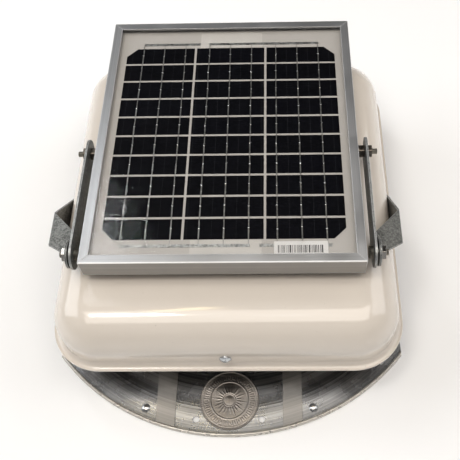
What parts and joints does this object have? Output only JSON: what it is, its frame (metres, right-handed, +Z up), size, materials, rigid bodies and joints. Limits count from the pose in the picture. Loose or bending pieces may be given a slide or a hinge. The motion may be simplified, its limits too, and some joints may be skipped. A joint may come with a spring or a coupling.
{
  "type": "solar roof ventilator",
  "caption": "Roof ventilator: spun flange with throat and fan, rounded square weather hood, and a small framed solar panel on swinging side arms above it.",
  "frame": {"origin": "centre of the flange underside, on the fan axis, at the surface the part rests on", "axes": "+Z up along the fan axis, +X to the right as seen from the front, +Y to the back; the front is the side with the badge and the lower hinges"},
  "size_m": [0.266, 0.348, 0.1107],
  "materials": {
    "spun_aluminium": "spun, with fine turning lines around the centre",
    "badge_metal": "etched matte",
    "rivet_metal": "bright satin",
    "zinc_wire": "zinc plated wire",
    "galvanised": "galvanised sheet with a fine spangle",
    "motor_metal": "zinc plated can",
    "screw_steel": "zinc plated",
    "bronze_steel": "dull, slightly bronze",
    "hood_paint": "gloss off-white powder coat",
    "anodised_frame": "satin anodised, fine lines along each rail",
    "panel_glass": "low-iron glass with a fine pebble texture",
    "silicon": "black monocrystalline cells",
    "tinned_ribbon": "tinned copper ribbon",
    "backsheet": "warm white film",
    "label": "paper label with plain bars",
    "black_plastic": "fine moulded texture",
    "fan_plastic": "glass-filled moulding",
    "black_rubber": "matte"
  },
  "bodies": {
    "base": {"flange": "spun_aluminium", "throat": "spun_aluminium", "base_straps": "spun_aluminium", "flange_rivets": "rivet_metal", "badge": "badge_metal", "guard": "zinc_wire", "guard_clips": "zinc_wire", "cross_strap_long": "galvanised", "cross_strap_wide": "galvanised", "strap_rivets": "rivet_metal", "motor_body": "motor_metal", "motor_cap": "black_plastic", "motor_screws": "screw_steel", "hood": "hood_paint", "hood_screws": "screw_steel", "hood_grommet": "black_rubber", "hood_bracket_left": "galvanised", "hood_bracket_right": "galvanised", "bracket_rivets": "rivet_metal", "lower_screws": "screw_steel", "lower_nuts": "screw_steel"},
    "arm_left": {"tilt_arm_left": "galvanised"},
    "arm_right": {"tilt_arm_right": "galvanised"},
    "panel": {"frame_rail_front": "anodised_frame", "frame_rail_back": "anodised_frame", "frame_rail_left": "anodised_frame", "frame_rail_right": "anodised_frame", "cover_glass": "panel_glass", "cells": "silicon", "cell_ribbons": "tinned_ribbon", "bus_tapes": "tinned_ribbon", "backsheet": "backsheet", "bar_label": "label", "junction_box": "black_plastic", "junction_lid": "black_plastic", "lid_screws": "screw_steel", "cable_inlet": "black_rubber", "upper_screws": "bronze_steel", "spacer_nuts": "bronze_steel", "lock_nuts": "bronze_steel"},
    "rotor": {"shaft": "screw_steel", "fan_hub": "fan_plastic", "fan_blades": "fan_plastic", "hub_screw": "screw_steel"}
  },
  "joints": [
    {"name": "arm_left_swing", "type": "hinge", "parent": "base", "child": "arm_left", "pos_m": [-0.10395, -0.074, 0.1], "axis": [1, 0, 0], "range_deg": [0, 60]},
    {"name": "arm_right_swing", "type": "hinge", "parent": "base", "child": "arm_right", "pos_m": [0.10395, -0.074, 0.1], "axis": [1, 0, 0], "range_deg": [0, 60]},
    {"name": "panel_trim", "type": "hinge", "parent": "arm_left", "child": "panel", "pos_m": [0, 0.0125, 0.1], "axis": [1, 0, 0], "range_deg": [-4, 1]},
    {"name": "fan_spin", "type": "hinge", "parent": "base", "child": "rotor", "pos_m": [0, 0, 0.028], "axis": [0, 0, 1], "continuous": true}
  ],
  "couplings": [
    {"joint": "arm_right_swing", "follows": "arm_left_swing", "ratio": 1}
  ]
}
